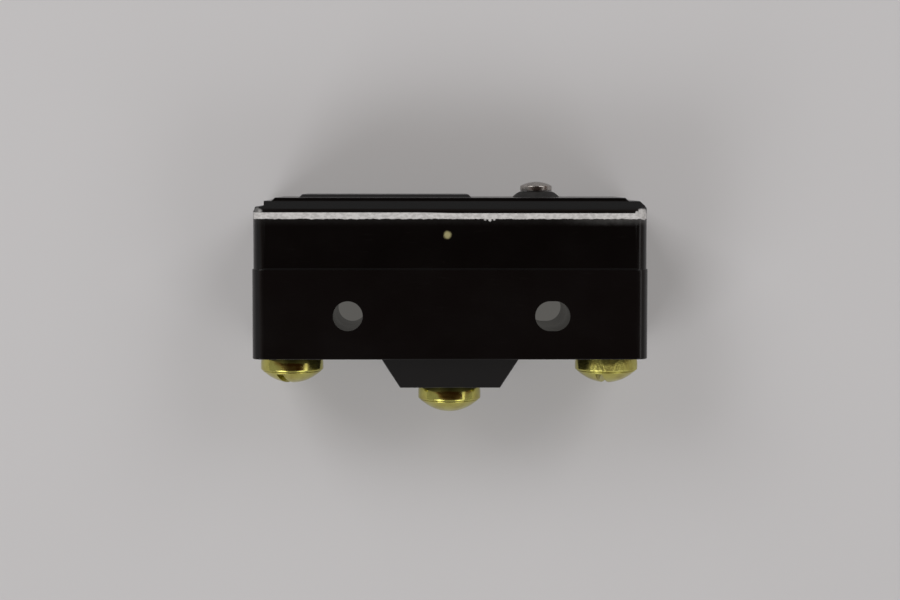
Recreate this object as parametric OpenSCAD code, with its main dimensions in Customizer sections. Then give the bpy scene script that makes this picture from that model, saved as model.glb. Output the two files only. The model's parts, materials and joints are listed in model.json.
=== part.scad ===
// Basic snap-action switch with a sealed pin plunger and three screw terminals.
// X runs along the switch, Y up the plunger, Z out of the mounting face.
// The origin lies midway between the two mounting holes, on the mounting face.

/* [Housing] */
// Length of the case
case_length = 49.2; // [48.6:0.1:52]
// Thickness of the switch between its two mounting faces
body_thickness = 17.5; // [17:0.1:20]
// Hole line down to the underside of the case
hole_to_underside = 5.4; // [5:0.05:6.5]
// Hole line up to the parting line of case and cover
hole_to_split = 5.8; // [5.2:0.05:7]
// Hole line up to the shoulder of the cover
hole_to_shoulder = 14.25; // [14:0.05:16]
// Radius of the four upright corners
corner_radius = 1.6; // [0.8:0.1:2]
// Wall of the case and cover
wall = 2; // [1.8:0.1:2.2]
// Roof of the cover, from the shoulder inwards
roof = 2.2; // [1.9:0.1:2.4]
// Set-back of the cover from the case at each end
cover_inset = 0.15; // [0:0.05:0.3]
// Width of the tongue that locates the cover
tongue_width = 0.7; // [0.5:0.1:1]
// Height of the tongue that locates the cover
tongue_height = 0.6; // [0.4:0.1:1]

/* [Cover top] */
// Bevel at each end of the cover
end_bevel = 0.9; // [0.4:0.1:1.2]
// Height of the lower bevel along the mounting faces
lower_bevel_height = 0.45; // [0.3:0.05:0.8]
// Depth of the lower bevel along the mounting faces
lower_bevel_depth = 0.2; // [0.1:0.05:0.6]
// Height of the upper bevel, up to the shoulder
upper_bevel_height = 0.95; // [0.6:0.05:1.2]
// Depth of the upper bevel, up to the shoulder
upper_bevel_depth = 0.85; // [0.6:0.05:1.4]
// Rise of the plateau above the shoulder
plateau_rise = 0.4; // [0.2:0.05:0.7]
// Ledge left at each end beside the plateau
end_ledge = 1.4; // [0.8:0.1:1.8]
// Slope of the plateau's and the pad's edges, as a length
edge_slope = 0.4; // [0.2:0.05:0.6]
// Distance of the raised pad from the left end of the case
pad_inset = 5.7; // [4.6:0.1:8.6]
// Length of the raised pad
pad_length = 21.6; // [18:0.1:24]
// Depth of the raised pad
pad_depth = 10.5; // [8:0.1:12.5]
// Rise of the pad above the plateau
pad_rise = 0.4; // [0.2:0.05:0.7]

/* [Centre boss] */
// Drop of the boss below the underside
boss_drop = 3.7; // [3:0.1:4.5]
// Length of the boss at the underside
boss_base_length = 17.2; // [15.5:0.1:18.5]
// Length of the boss at its tip
boss_tip_length = 12.5; // [11:0.1:14]
// Depth of the boss at the underside
boss_base_depth = 15.1; // [13:0.1:16]
// Depth of the boss at its tip
boss_tip_depth = 13.9; // [11:0.1:15]

/* [Mounting holes] */
// Distance between the round hole and the slotted hole
hole_spacing = 25.4; // [25:0.1:25.8]
// Diameter of the round hole and width of the slotted one
hole_diameter = 3.7; // [3.2:0.1:4.2]
// Length of the slotted hole
slot_length = 4.35; // [4.2:0.05:5]
// Floor of the case above the holes
floor_over_hole = 2.15; // [1.8:0.05:2.3]

/* [Terminals] */
// Distance of the end terminals from the ends of the case
terminal_inset = 4.45; // [4.3:0.05:4.7]
// Diameter of the threaded inserts
insert_diameter = 4.8; // [4.4:0.1:5]
// Diameter of the terminal screws
screw_diameter = 3.5; // [3:0.1:3.6]
// Length of the terminal screws under the head
screw_length = 8; // [6:0.5:9]
// Depth of the thread in the inserts
thread_depth = 8.5; // [8.2:0.1:9.2]
// Diameter of the cup washers
washer_diameter = 8; // [7.6:0.1:8.4]
// Height of the cup washers
washer_height = 2.05; // [1.7:0.05:2.4]
// Sheet thickness of the cup washers
washer_gauge = 0.5; // [0.4:0.05:0.7]
// Diameter of the hole in the cup washers
washer_hole = 4; // [3.8:0.1:4.4]
// Diameter of the screw heads
head_diameter = 7.5; // [6.4:0.1:7.6]
// Straight rim of the screw heads
head_rim = 0.1; // [0.1:0.05:0.4]
// Height of the domed top of the screw heads
head_dome = 1.5; // [1:0.05:1.7]
// Width of the screwdriver slots
driver_slot_width = 0.9; // [0.6:0.1:1.2]
// Depth of the screwdriver slots
driver_slot_depth = 0.9; // [0.5:0.1:1]
// Turn of the slot of the normally closed terminal's screw
nc_slot_angle = 62; // [0:1:179]
// Turn of the slot of the normally open terminal's screw
no_slot_angle = 8; // [0:1:179]
// Turn of the slot of the common terminal's screw
com_slot_angle = 160; // [0:1:179]
// Diameter of the riveted end of the inserts
tenon_diameter = 2.6; // [2.2:0.1:2.8]
// Diameter of the upset head on the inserts
tenon_head_diameter = 3.8; // [3.4:0.1:4]
// Height of the upset head on the inserts
tenon_head_height = 0.45; // [0.3:0.05:0.6]

/* [Plunger and seal] */
// Distance of the plunger from the right end of the case
plunger_inset = 13.55; // [13.3:0.05:14.1]
// Height of the plunger tip above the plateau
tip_height = 1.95; // [1.8:0.05:2.3]
// Diameter of the plunger button
button_diameter = 4.04; // [3.8:0.02:4.6]
// Height of the plunger button
button_height = 1.15; // [1:0.05:1.2]
// Radius of the button's rolled edge
button_edge = 0.34; // [0.25:0.01:0.4]
// Diameter of the plunger stem
stem_diameter = 2.3; // [2:0.1:2.5]
// Depth of the stem in the insulating foot
stem_seat = 2; // [1.5:0.1:2.6]
// Diameter of the rubber boot where it leaves the cover
boot_base_diameter = 6; // [5.4:0.1:6.2]
// Diameter of the rubber boot at its top
boot_top_diameter = 3.6; // [3:0.1:3.8]
// Wall of the rubber boot
boot_wall = 0.5; // [0.4:0.05:0.6]
// Diameter of the flange of boot and bush
boot_flange_diameter = 8.2; // [7.6:0.1:8.8]
// Thickness of the boot's flange
boot_flange = 0.6; // [0.4:0.05:0.8]
// Depth of the boot's seat below the plateau
seal_seat_depth = 1.3; // [1.1:0.05:1.5]
// Thickness of the bush's flange
bush_flange = 0.9; // [0.7:0.05:1.2]
// Height of the bush's tube above its flange
bush_tube_height = 1.3; // [0.9:0.1:1.5]
// Wall of the bush's tube
bush_wall = 0.7; // [0.5:0.05:0.8]
// Diameter of the insulating foot's collar
foot_collar_diameter = 5.2; // [4.4:0.1:5.6]
// Thickness of the insulating foot's collar
foot_collar = 1; // [0.7:0.1:1.4]
// Diameter of the insulating foot's shank
foot_diameter = 3.6; // [3.4:0.1:4]
// Height of the rounded tip of the foot
foot_tip = 0.75; // [0.5:0.05:1]

/* [Snap mechanism] */
// Sheet thickness of the straps and brackets
strip_gauge = 0.8; // [0.6:0.05:1]
// Width of the straps and brackets
strip_width = 4.8; // [4.4:0.1:5.4]
// Distance of the contacts from the normally closed terminal
contact_inset = 5.95; // [5.75:0.05:6.5]
// Diameter of the contact heads
contact_diameter = 3.4; // [3:0.1:3.8]
// Height of the contact heads
contact_head = 0.6; // [0.4:0.05:0.7]
// Diameter of the contact shanks
contact_shank = 1.5; // [1.2:0.1:1.8]
// Travel of the moving contact
contact_travel = 0.5; // [0.4:0.05:0.6]
// Blade left around the moving contact
contact_margin = 0.8; // [0.5:0.1:0.9]
// Gap between the blade's tip and the bracket's upright
tip_gap = 0.5; // [0.3:0.05:0.6]
// Sheet thickness of the snap blade
blade_gauge = 0.25; // [0.2:0.01:0.3]
// Width of the snap blade
blade_width = 5.8; // [5.4:0.1:6]
// Width of the middle, tensioned leaf
tension_leaf_width = 2.4; // [2:0.1:2.6]
// Slit between the leaves
leaf_slit = 0.5; // [0.3:0.05:0.7]
// Bow of the two outer, compressed leaves
leaf_bow = 1.2; // [0.8:0.1:1.5]
// Distance of the outer leaves from the contacts
leaf_inset = 5.2; // [4.2:0.1:7]
// Gap between the normally open strap and the common anchor
insulation_gap = 1.65; // [1.4:0.05:2]
// Depth of the pivot grooves
groove_depth = 0.6; // [0.5:0.05:0.7]
// Length of the pivot posts
post_length = 1.8; // [1.5:0.1:2]
// Length of the blade's clamped end
clamp_length = 3.4; // [3:0.1:3.6]
// Distance of the clamp's inner edge from the common terminal
clamp_inset = 5.85; // [5.65:0.05:5.95]
// Thickness of the clamp plate
clamp_gauge = 0.6; // [0.4:0.05:0.8]
// Distance between the two clamp rivets
rivet_spacing = 3.8; // [3.4:0.1:4]
// Diameter of the clamp rivets
rivet_diameter = 1; // [0.8:0.1:1.2]
// Diameter of the heads of the clamp rivets
rivet_head_diameter = 1.8; // [1.6:0.1:1.9]
// Height of the heads of the clamp rivets
rivet_head_height = 0.5; // [0.3:0.05:0.6]
// Width of the common anchor
anchor_width = 6.2; // [6:0.1:6.2]

/* [Cover screws] */
// Wall between the slotted hole and the cover screw beside it
cover_screw_wall = 0.85; // [0.6:0.05:1.2]
// Diameter of the cover screws
cover_screw_diameter = 2; // [1.8:0.1:2.2]
// Length of the cover screws under the head
cover_screw_length = 12; // [10.5:0.1:13]
// Diameter of the heads of the cover screws
cover_head_diameter = 3.6; // [3.2:0.1:3.8]
// Height of the heads of the cover screws
cover_head_height = 1.2; // [1:0.1:1.4]
// Width of the slots of the cover screws
cover_slot_width = 0.6; // [0.4:0.1:0.8]
// Depth of the slots of the cover screws
cover_slot_depth = 0.6; // [0.4:0.1:0.8]
// Depth of the recess for those heads
cover_head_recess = 2; // [1.7:0.1:2.3]
// Diameter of the posts that the screws bite into
cover_post_diameter = 3.2; // [3:0.1:3.3]

/* [Clearances] */
// Radial clearance of the plunger stem in its bush
running_clearance = 0.04; // [0.02:0.01:0.08]
// Radial clearance of the terminal screws in their inserts
thread_clearance = 0.04; // [0.02:0.01:0.08]
// Gap where moving faces meet
seat_gap = 0.05; // [0.03:0.01:0.08]
// Gap around parts that are assembled and stay put
fit_gap = 0.03; // [0.01:0.01:0.05]

/* [Hidden] */
$fn = 72;

// Colours of the materials
phenolic = "#171516";
rubber = "#1f1e1f";
bright_brass = "#c9a63f";
plain_brass = "#b58f42";
spring_copper = "#b8793f";
contact_silver = "#c9c8c4";
stainless = "#aeb0b2";
foot_moulding = "#5a3a24";
zinc_steel = "#8d8f92";

// Cutters run this far past the faces that they cut
over = 1;

// Levels along Y, from the hole line
underside_y = -hole_to_underside;
boss_y = underside_y - boss_drop;
split_y = hole_to_split;
floor_y = hole_diameter / 2 + floor_over_hole;
shoulder_y = hole_to_shoulder;
plateau_y = shoulder_y + plateau_rise;
pad_y = plateau_y + pad_rise;
roof_y = shoulder_y - roof;
mid_z = body_thickness / 2;

// Plan of the housing
cover_length = case_length - 2 * cover_inset;
cavity_length = cover_length - 2 * wall;
cavity_depth = body_thickness - 2 * wall;
cavity_radius = corner_radius;
pad_left = pad_inset - case_length / 2;
plateau_depth = body_thickness - 2 * (lower_bevel_depth + upper_bevel_depth);

// Terminals, from left to right
nc_x = terminal_inset - case_length / 2;
no_x = 0;
com_x = case_length / 2 - terminal_inset;
insert_nose = washer_height - washer_gauge;
strip_top_y = floor_y + strip_gauge;
strip_end = min(cavity_length / 2 - fit_gap, com_x + tenon_head_diameter / 2);

// Contacts and snap blade, stacked up from the floor
contact_x = nc_x + contact_inset;
no_contact_y = strip_top_y + contact_head;
blade_y = no_contact_y + contact_travel + seat_gap + contact_head;
blade_top_y = blade_y + blade_gauge;
blade_mid_y = blade_y + blade_gauge / 2;
nc_contact_y = blade_top_y + contact_head + seat_gap;
nc_arm_y = nc_contact_y + contact_head;
contact_radius = contact_diameter / 2;

// Snap blade
leaf_width = (blade_width - tension_leaf_width) / 2 - leaf_slit;
leaf_z = (blade_width - leaf_width) / 2;
groove_left = no_x + strip_width / 2 + insulation_gap;
pivot_x = groove_left + groove_depth;
leaf_left = contact_x + leaf_inset;
leaf_right = pivot_x - groove_depth / 2;
tab_left = contact_x - contact_radius - contact_margin;
tab_right = leaf_left + 2 * blade_gauge;
clamp_left = com_x - clamp_inset;
clamp_right = clamp_left + clamp_length;
clamp_x = clamp_left + clamp_length / 2;

// Normally closed bracket, with its upright clear of the blade's tip
upright_right = tab_left - tip_gap;
upright_left = upright_right - strip_gauge;
nc_arm_right = contact_x + contact_radius + contact_margin / 2;

// Plunger, boot and bush
plunger_x = case_length / 2 - plunger_inset;
seal_seat_y = plateau_y - seal_seat_depth;
boot_flange_y = seal_seat_y - boot_flange;
bush_y = boot_flange_y - bush_flange;
button_y = plateau_y + tip_height - button_height;
boot_height = button_y - seat_gap - plateau_y;
foot_top_y = bush_y - seat_gap;
foot_bottom_y = blade_top_y + seat_gap;
foot_shank_y = foot_bottom_y + foot_tip;
stem_bottom_y = foot_top_y - stem_seat;

// Cover screws, on a diagonal
cover_screw_x = (hole_spacing + slot_length + cover_screw_diameter) / 2 + cover_screw_wall;
cover_post_z = mid_z - wall - cover_post_diameter / 2 - seat_gap;
cover_head_y = underside_y + cover_head_recess;

// Radius of the ball that gives a cap of the given base radius and height
function cap_ball(radius, height) = (radius * radius + height * height) / (2 * height);

// Extrudes an outline drawn in X and Y across the thickness
module across(width) {
    translate([0, 0, mid_z])
        linear_extrude(width, center = true)
            children();
}

// Extrudes an outline drawn in Y and Z along the length
module lengthwise(length) {
    translate([0, 0, mid_z])
        rotate([90, 0, 90])
            linear_extrude(length, center = true)
                children();
}

// Extrudes a plan drawn in X and Z from one level to another
module upright(from_y, to_y) {
    translate([0, from_y, mid_z])
        rotate([-90, 0, 0])
            linear_extrude(to_y - from_y)
                children();
}

// Stands a turned shape on a level, its axis along +Y
module turned(x, y) {
    translate([x, y, mid_z])
        rotate([-90, 0, 0])
            children();
}

// Hangs a turned shape from a level, its axis along -Y
module hung(x, y) {
    translate([x, y, mid_z])
        rotate([90, 0, 0])
            children();
}

// Rectangle with rounded corners, about its centre
module rounded_plan(length, depth, radius) {
    square([length - 2 * radius, depth], center = true);
    square([length, depth - 2 * radius], center = true);
    for (x = [-1, 1])
        for (z = [-1, 1])
            translate([x * (length / 2 - radius), z * (depth / 2 - radius)])
                circle(radius);
}

// Strip with round ends, from one X to another
module round_strip(from_x, to_x, width) {
    radius = width / 2;
    translate([from_x + radius, -radius])
        square([to_x - from_x - width, width]);
    for (x = [from_x + radius, to_x - radius])
        translate([x, 0])
            circle(radius);
}

// Part of a ball that stands on a level
module cap(radius, height) {
    ball = cap_ball(radius, height);
    intersection() {
        translate([0, 0, height - ball])
            sphere(ball);
        translate([-ball, -ball, 0])
            cube([2 * ball, 2 * ball, height + over]);
    }
}

// Slice of a ball between two radii, the wider one below
module dome_band(lower_radius, upper_radius, height) {
    drop = (pow(lower_radius, 2) - pow(upper_radius, 2) - pow(height, 2)) / (2 * height);
    ball = sqrt(pow(lower_radius, 2) + pow(drop, 2));
    intersection() {
        translate([0, 0, -drop])
            sphere(ball);
        translate([-ball, -ball, 0])
            cube([2 * ball, 2 * ball, height]);
    }
}

// Inside of the housing, in plan
module cavity_plan() {
    rounded_plan(cavity_length, cavity_depth, cavity_radius);
}

// Tongue along the middle of the wall, in plan, widened by a gap for its groove
module tongue_plan(gap) {
    outer = wall - tongue_width - 2 * gap;
    inner = wall + tongue_width + 2 * gap;
    difference() {
        rounded_plan(cover_length - outer, body_thickness - outer, corner_radius);
        rounded_plan(cover_length - inner, body_thickness - inner, cavity_radius);
    }
}

// Drafted block under the middle of the case
module centre_boss() {
    intersection() {
        across(body_thickness)
            polygon([
                [-boss_base_length / 2, underside_y],
                [-boss_tip_length / 2, boss_y],
                [boss_tip_length / 2, boss_y],
                [boss_base_length / 2, underside_y]
            ]);
        lengthwise(case_length)
            polygon([
                [underside_y, -boss_base_depth / 2],
                [boss_y, -boss_tip_depth / 2],
                [boss_y, boss_tip_depth / 2],
                [underside_y, boss_base_depth / 2]
            ]);
    }
}

// Round hole on the left and slotted hole on the right
module mounting_holes() {
    across(body_thickness + 2 * over) {
        translate([-hole_spacing / 2, 0])
            circle(d = hole_diameter);
        translate([hole_spacing / 2, 0])
            round_strip(-slot_length / 2, slot_length / 2, hole_diameter);
    }
}

// Puts a turned shape at each of the two cover screws
module at_cover_screws(y) {
    for (side = [-1, 1])
        translate([side * cover_screw_x, y, mid_z + side * cover_post_z])
            rotate([-90, 0, 0])
                children();
}

module case() {
    color(phenolic)
        difference() {
            union() {
                upright(underside_y, split_y)
                    rounded_plan(case_length, body_thickness, corner_radius);
                upright(split_y, split_y + tongue_height)
                    tongue_plan(0);
                centre_boss();
            }
            upright(floor_y, split_y + over)
                cavity_plan();
            mounting_holes();
            for (x = [nc_x, no_x, com_x])
                turned(x, boss_y - over)
                    cylinder(h = floor_y - boss_y + 2 * over, d = insert_diameter + 2 * fit_gap);
            at_cover_screws(underside_y - over)
                cylinder(h = cover_head_recess + over, d = cover_head_diameter + 4 * fit_gap);
            at_cover_screws(underside_y)
                cylinder(h = floor_y - underside_y + over, d = cover_screw_diameter + 2 * fit_gap);
        }
}

// Side view of the cover up to its shoulder, with two bevels along each mounting face
module bevelled_section() {
    half = body_thickness / 2;
    crease_y = shoulder_y - upper_bevel_height;
    edge_y = crease_y - lower_bevel_height;
    crease_z = half - lower_bevel_depth;
    polygon([
        [split_y, -half],
        [edge_y, -half],
        [crease_y, -crease_z],
        [shoulder_y, -plateau_depth / 2],
        [shoulder_y, plateau_depth / 2],
        [crease_y, crease_z],
        [edge_y, half],
        [split_y, half]
    ]);
}

// Front view of the cover up to its shoulder
module bevelled_ends() {
    half = cover_length / 2;
    polygon([
        [-half, split_y],
        [-half, shoulder_y - end_bevel],
        [-half + end_bevel, shoulder_y],
        [half - end_bevel, shoulder_y],
        [half, shoulder_y - end_bevel],
        [half, split_y]
    ]);
}

// Low step with sloped ends, drawn in X and Y
module sloped_step(left, right, from_y, to_y) {
    polygon([
        [left, from_y],
        [left + edge_slope, to_y],
        [right - edge_slope, to_y],
        [right, from_y]
    ]);
}

// Side view of the raised pad, with sloped edges along the mounting faces
module pad_section() {
    half = pad_depth / 2;
    polygon([
        [plateau_y, -half],
        [pad_y, edge_slope - half],
        [pad_y, half - edge_slope],
        [plateau_y, half]
    ]);
}

// Outer form of the cover, with its plateau and raised pad
module cover_block() {
    plateau_half = cover_length / 2 - end_bevel - end_ledge;
    intersection() {
        upright(split_y, shoulder_y)
            rounded_plan(cover_length, body_thickness, corner_radius);
        across(body_thickness)
            bevelled_ends();
        lengthwise(case_length)
            bevelled_section();
    }
    across(plateau_depth)
        sloped_step(-plateau_half, plateau_half, shoulder_y, plateau_y);
    intersection() {
        across(pad_depth)
            sloped_step(pad_left, pad_left + pad_length, plateau_y, pad_y);
        lengthwise(case_length)
            pad_section();
    }
}

// Post for each cover screw, tied to the nearest wall above the parting line
module cover_posts() {
    tie_depth = mid_z - wall / 2 - cover_post_z;
    tie_y = split_y + tongue_height + over;
    tie_height = roof_y + over - tie_y;
    at_cover_screws(floor_y)
        cylinder(h = roof_y - floor_y + over, d = cover_post_diameter);
    for (side = [-1, 1])
        translate([
            side * cover_screw_x,
            tie_y + tie_height / 2,
            mid_z + side * (cover_post_z + tie_depth / 2)
        ])
            cube([cover_post_diameter, tie_height, tie_depth], center = true);
}

module cover() {
    color(phenolic)
        difference() {
            union() {
                difference() {
                    cover_block();
                    upright(split_y - over, roof_y)
                        cavity_plan();
                }
                cover_posts();
            }
            upright(split_y - over, split_y + tongue_height + fit_gap)
                tongue_plan(fit_gap);
            at_cover_screws(floor_y - over)
                cylinder(
                    h = cover_head_y + cover_screw_length + over - floor_y + over,
                    d = cover_screw_diameter + 2 * fit_gap
                );
            turned(plunger_x, roof_y - over)
                cylinder(h = seal_seat_y - roof_y + over, d = boot_flange_diameter + 2 * fit_gap);
            turned(plunger_x, seal_seat_y - over)
                cylinder(h = plateau_y - seal_seat_y + 2 * over, d = boot_base_diameter + 2 * fit_gap);
        }
}

module cover_screws() {
    color(zinc_steel)
        difference() {
            union() {
                at_cover_screws(cover_head_y - cover_head_height)
                    cylinder(h = cover_head_height, d = cover_head_diameter);
                at_cover_screws(cover_head_y)
                    cylinder(h = cover_screw_length, d = cover_screw_diameter);
            }
            at_cover_screws(cover_head_y - cover_head_height)
                cube([cover_head_diameter + over, cover_slot_width, 2 * cover_slot_depth], center = true);
        }
}

// Button head: a disc with a rolled edge under a low dome
module button_head() {
    radius = button_diameter / 2;
    rotate_extrude() {
        square([radius - button_edge, 2 * button_edge]);
        translate([radius - button_edge, button_edge])
            circle(button_edge);
    }
    translate([0, 0, 2 * button_edge])
        cap(radius - button_edge, button_height - 2 * button_edge);
}

module plunger_pin() {
    color(stainless) {
        turned(plunger_x, stem_bottom_y)
            cylinder(h = button_y - stem_bottom_y + button_edge, d = stem_diameter);
        turned(plunger_x, button_y)
            button_head();
    }
}

module plunger_foot() {
    color(foot_moulding)
        difference() {
            union() {
                turned(plunger_x, foot_top_y - foot_collar)
                    cylinder(h = foot_collar, d = foot_collar_diameter);
                turned(plunger_x, foot_shank_y)
                    cylinder(h = foot_top_y - foot_shank_y, d = foot_diameter);
                hung(plunger_x, foot_shank_y)
                    cap(foot_diameter / 2, foot_tip);
            }
            turned(plunger_x, stem_bottom_y - fit_gap)
                cylinder(h = stem_seat + over, d = stem_diameter + 2 * fit_gap);
        }
}

module boot_seal() {
    base = boot_base_diameter / 2;
    top = boot_top_diameter / 2;
    color(rubber)
        difference() {
            union() {
                turned(plunger_x, boot_flange_y)
                    cylinder(h = boot_flange, d = boot_flange_diameter);
                turned(plunger_x, boot_flange_y)
                    cylinder(h = plateau_y - boot_flange_y, r = base);
                turned(plunger_x, plateau_y)
                    dome_band(base, top, boot_height);
            }
            turned(plunger_x, boot_flange_y - over)
                cylinder(h = plateau_y - boot_flange_y + over, r = base - boot_wall);
            turned(plunger_x, plateau_y)
                dome_band(base - boot_wall, top - boot_wall, boot_height - boot_wall);
            turned(plunger_x, boot_flange_y)
                cylinder(h = button_y - boot_flange_y, d = stem_diameter + 2 * fit_gap);
        }
}

module guide_bush() {
    bore = stem_diameter + 2 * running_clearance;
    color(plain_brass)
        difference() {
            union() {
                turned(plunger_x, bush_y)
                    cylinder(h = bush_flange, d = boot_flange_diameter);
                turned(plunger_x, bush_y)
                    cylinder(h = bush_flange + bush_tube_height, d = bore + 2 * bush_wall);
            }
            turned(plunger_x, bush_y - over)
                cylinder(h = bush_flange + bush_tube_height + 2 * over, d = bore);
        }
}

// Threaded insert that carries a terminal through the case and is riveted over its strap
module terminal_insert(x, base_y) {
    nose_y = base_y - insert_nose;
    color(plain_brass)
        difference() {
            union() {
                turned(x, nose_y)
                    cylinder(h = floor_y - nose_y, d = insert_diameter);
                turned(x, floor_y)
                    cylinder(h = strip_gauge, d = tenon_diameter);
                turned(x, strip_top_y)
                    cap(tenon_head_diameter / 2, tenon_head_height);
            }
            turned(x, nose_y - over)
                cylinder(h = thread_depth + over, d = screw_diameter + 2 * thread_clearance);
        }
}

// Drawn cup that traps the wire, with its rim towards the case
module cup_washer(x, base_y) {
    radius = washer_diameter / 2;
    color(bright_brass)
        turned(x, base_y - seat_gap - washer_height)
            rotate_extrude()
                difference() {
                    union() {
                        translate([0, washer_gauge])
                            square([radius, washer_height - washer_gauge]);
                        square([radius - washer_gauge, washer_height]);
                        translate([radius - washer_gauge, washer_gauge])
                            circle(washer_gauge);
                    }
                    translate([0, washer_gauge])
                        square([radius - washer_gauge, washer_height]);
                    translate([0, -over])
                        square([washer_hole / 2, washer_height + 2 * over]);
                }
}

// Slotted screw with a low domed head
module terminal_screw(x, base_y, slot_angle) {
    seat_y = base_y - seat_gap - washer_height - fit_gap;
    rim_y = seat_y - head_rim;
    color(bright_brass)
        difference() {
            union() {
                turned(x, seat_y)
                    cylinder(h = screw_length, d = screw_diameter);
                turned(x, rim_y)
                    cylinder(h = head_rim, d = head_diameter);
                hung(x, rim_y)
                    cap(head_diameter / 2, head_dome);
            }
            translate([x, rim_y - head_dome, mid_z])
                rotate([0, slot_angle, 0])
                    cube([head_diameter + over, 2 * driver_slot_depth, driver_slot_width], center = true);
        }
}

module nc_insert() {
    terminal_insert(nc_x, underside_y);
}

module no_insert() {
    terminal_insert(no_x, boss_y);
}

module com_insert() {
    terminal_insert(com_x, underside_y);
}

module nc_washer() {
    cup_washer(nc_x, underside_y);
}

module no_washer() {
    cup_washer(no_x, boss_y);
}

module com_washer() {
    cup_washer(com_x, underside_y);
}

module nc_screw() {
    terminal_screw(nc_x, underside_y, nc_slot_angle);
}

module no_screw() {
    terminal_screw(no_x, boss_y, no_slot_angle);
}

module com_screw() {
    terminal_screw(com_x, underside_y, com_slot_angle);
}

// Hole for an insert's riveted end
module tenon_hole(x) {
    turned(x, floor_y - over)
        cylinder(h = strip_gauge + 2 * over, d = tenon_diameter + 2 * fit_gap);
}

// Puts a turned shape at each of the two clamp rivets
module at_clamp_rivets(y) {
    for (side = [-1, 1])
        translate([clamp_x, y, mid_z + side * rivet_spacing / 2])
            rotate([-90, 0, 0])
                children();
}

// Holes for the two clamp rivets, from the strip upwards
module rivet_holes() {
    at_clamp_rivets(strip_top_y)
        cylinder(h = blade_top_y + clamp_gauge + over - strip_top_y, d = rivet_diameter + 2 * fit_gap);
}

// Common terminal's anchor: a base, a shelf for the blade and two grooved pivot posts
module com_anchor() {
    color(plain_brass)
        difference() {
            union() {
                across(anchor_width)
                    polygon([
                        [groove_left, floor_y],
                        [strip_end, floor_y],
                        [strip_end, strip_top_y],
                        [clamp_right, strip_top_y],
                        [clamp_right, blade_y],
                        [clamp_left, blade_y],
                        [clamp_left, strip_top_y],
                        [groove_left, strip_top_y]
                    ]);
                for (side = [-1, 1])
                    translate([0, 0, side * leaf_z])
                        across(leaf_width)
                            translate([groove_left, floor_y])
                                square([post_length, blade_mid_y + groove_depth + strip_gauge - floor_y]);
            }
            across(anchor_width + over)
                polygon([
                    [pivot_x, blade_mid_y],
                    [pivot_x - 2 * groove_depth, blade_mid_y + 2 * groove_depth],
                    [pivot_x - 2 * groove_depth, blade_mid_y - 2 * groove_depth]
                ]);
            tenon_hole(com_x);
            rivet_holes();
        }
}

// Outer leaf, bowed up between the blade's tip and its pivot groove
module bowed_leaf(side) {
    half_span = (leaf_right - leaf_left) / 2;
    bend = cap_ball(half_span, leaf_bow);
    translate([0, 0, side * leaf_z])
        across(leaf_width)
            intersection() {
                translate([leaf_left + half_span, blade_mid_y + leaf_bow - bend])
                    difference() {
                        circle(bend + blade_gauge / 2, $fn = 360);
                        circle(bend - blade_gauge / 2, $fn = 360);
                    }
                translate([leaf_left - over, blade_y])
                    square([leaf_right - leaf_left + over, leaf_bow + over]);
            }
}

module snap_blade() {
    color(spring_copper)
        difference() {
            union() {
                upright(blade_y, blade_top_y) {
                    translate([tab_left, -blade_width / 2])
                        square([tab_right - tab_left, blade_width]);
                    translate([tab_left, -tension_leaf_width / 2])
                        square([clamp_right - tab_left, tension_leaf_width]);
                    translate([clamp_left, -blade_width / 2])
                        square([clamp_length, blade_width]);
                }
                for (side = [-1, 1])
                    bowed_leaf(side);
            }
            turned(contact_x, blade_y - over)
                cylinder(h = blade_gauge + 2 * over, d = contact_shank + 2 * fit_gap);
            rivet_holes();
        }
}

module blade_clamp() {
    color(plain_brass)
        difference() {
            upright(blade_top_y, blade_top_y + clamp_gauge)
                translate([clamp_left, -blade_width / 2])
                    square([clamp_length, blade_width]);
            rivet_holes();
        }
}

module clamp_rivets() {
    color(plain_brass) {
        at_clamp_rivets(strip_top_y)
            cylinder(h = blade_top_y + clamp_gauge - strip_top_y, d = rivet_diameter);
        at_clamp_rivets(blade_top_y + clamp_gauge)
            cap(rivet_head_diameter / 2, rivet_head_height);
    }
}

// Contact rivet with a domed face on both sides of the blade
module moving_contact() {
    color(contact_silver) {
        turned(contact_x, blade_y)
            cylinder(h = blade_gauge, d = contact_shank);
        turned(contact_x, blade_top_y)
            cap(contact_radius, contact_head);
        hung(contact_x, blade_y)
            cap(contact_radius, contact_head);
    }
}

module no_strap() {
    color(plain_brass)
        difference() {
            upright(floor_y, strip_top_y)
                round_strip(contact_x - strip_width / 2, no_x + strip_width / 2, strip_width);
            tenon_hole(no_x);
            turned(contact_x, floor_y - over)
                cylinder(h = strip_gauge + 2 * over, d = contact_shank + 2 * fit_gap);
        }
}

module no_contact() {
    color(contact_silver) {
        turned(contact_x, floor_y)
            cylinder(h = strip_gauge, d = contact_shank);
        turned(contact_x, strip_top_y)
            cylinder(h = contact_head, d = contact_diameter);
    }
}

module nc_bracket() {
    color(plain_brass)
        difference() {
            across(strip_width)
                polygon([
                    [-strip_end, floor_y],
                    [upright_right, floor_y],
                    [upright_right, nc_arm_y],
                    [nc_arm_right, nc_arm_y],
                    [nc_arm_right, nc_arm_y + strip_gauge],
                    [upright_left, nc_arm_y + strip_gauge],
                    [upright_left, strip_top_y],
                    [-strip_end, strip_top_y]
                ]);
            tenon_hole(nc_x);
            turned(contact_x, nc_arm_y - over)
                cylinder(h = strip_gauge + 2 * over, d = contact_shank + 2 * fit_gap);
        }
}

module nc_contact() {
    color(contact_silver) {
        turned(contact_x, nc_contact_y)
            cylinder(h = contact_head, d = contact_diameter);
        turned(contact_x, nc_arm_y)
            cylinder(h = strip_gauge, d = contact_shank);
    }
}

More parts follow.
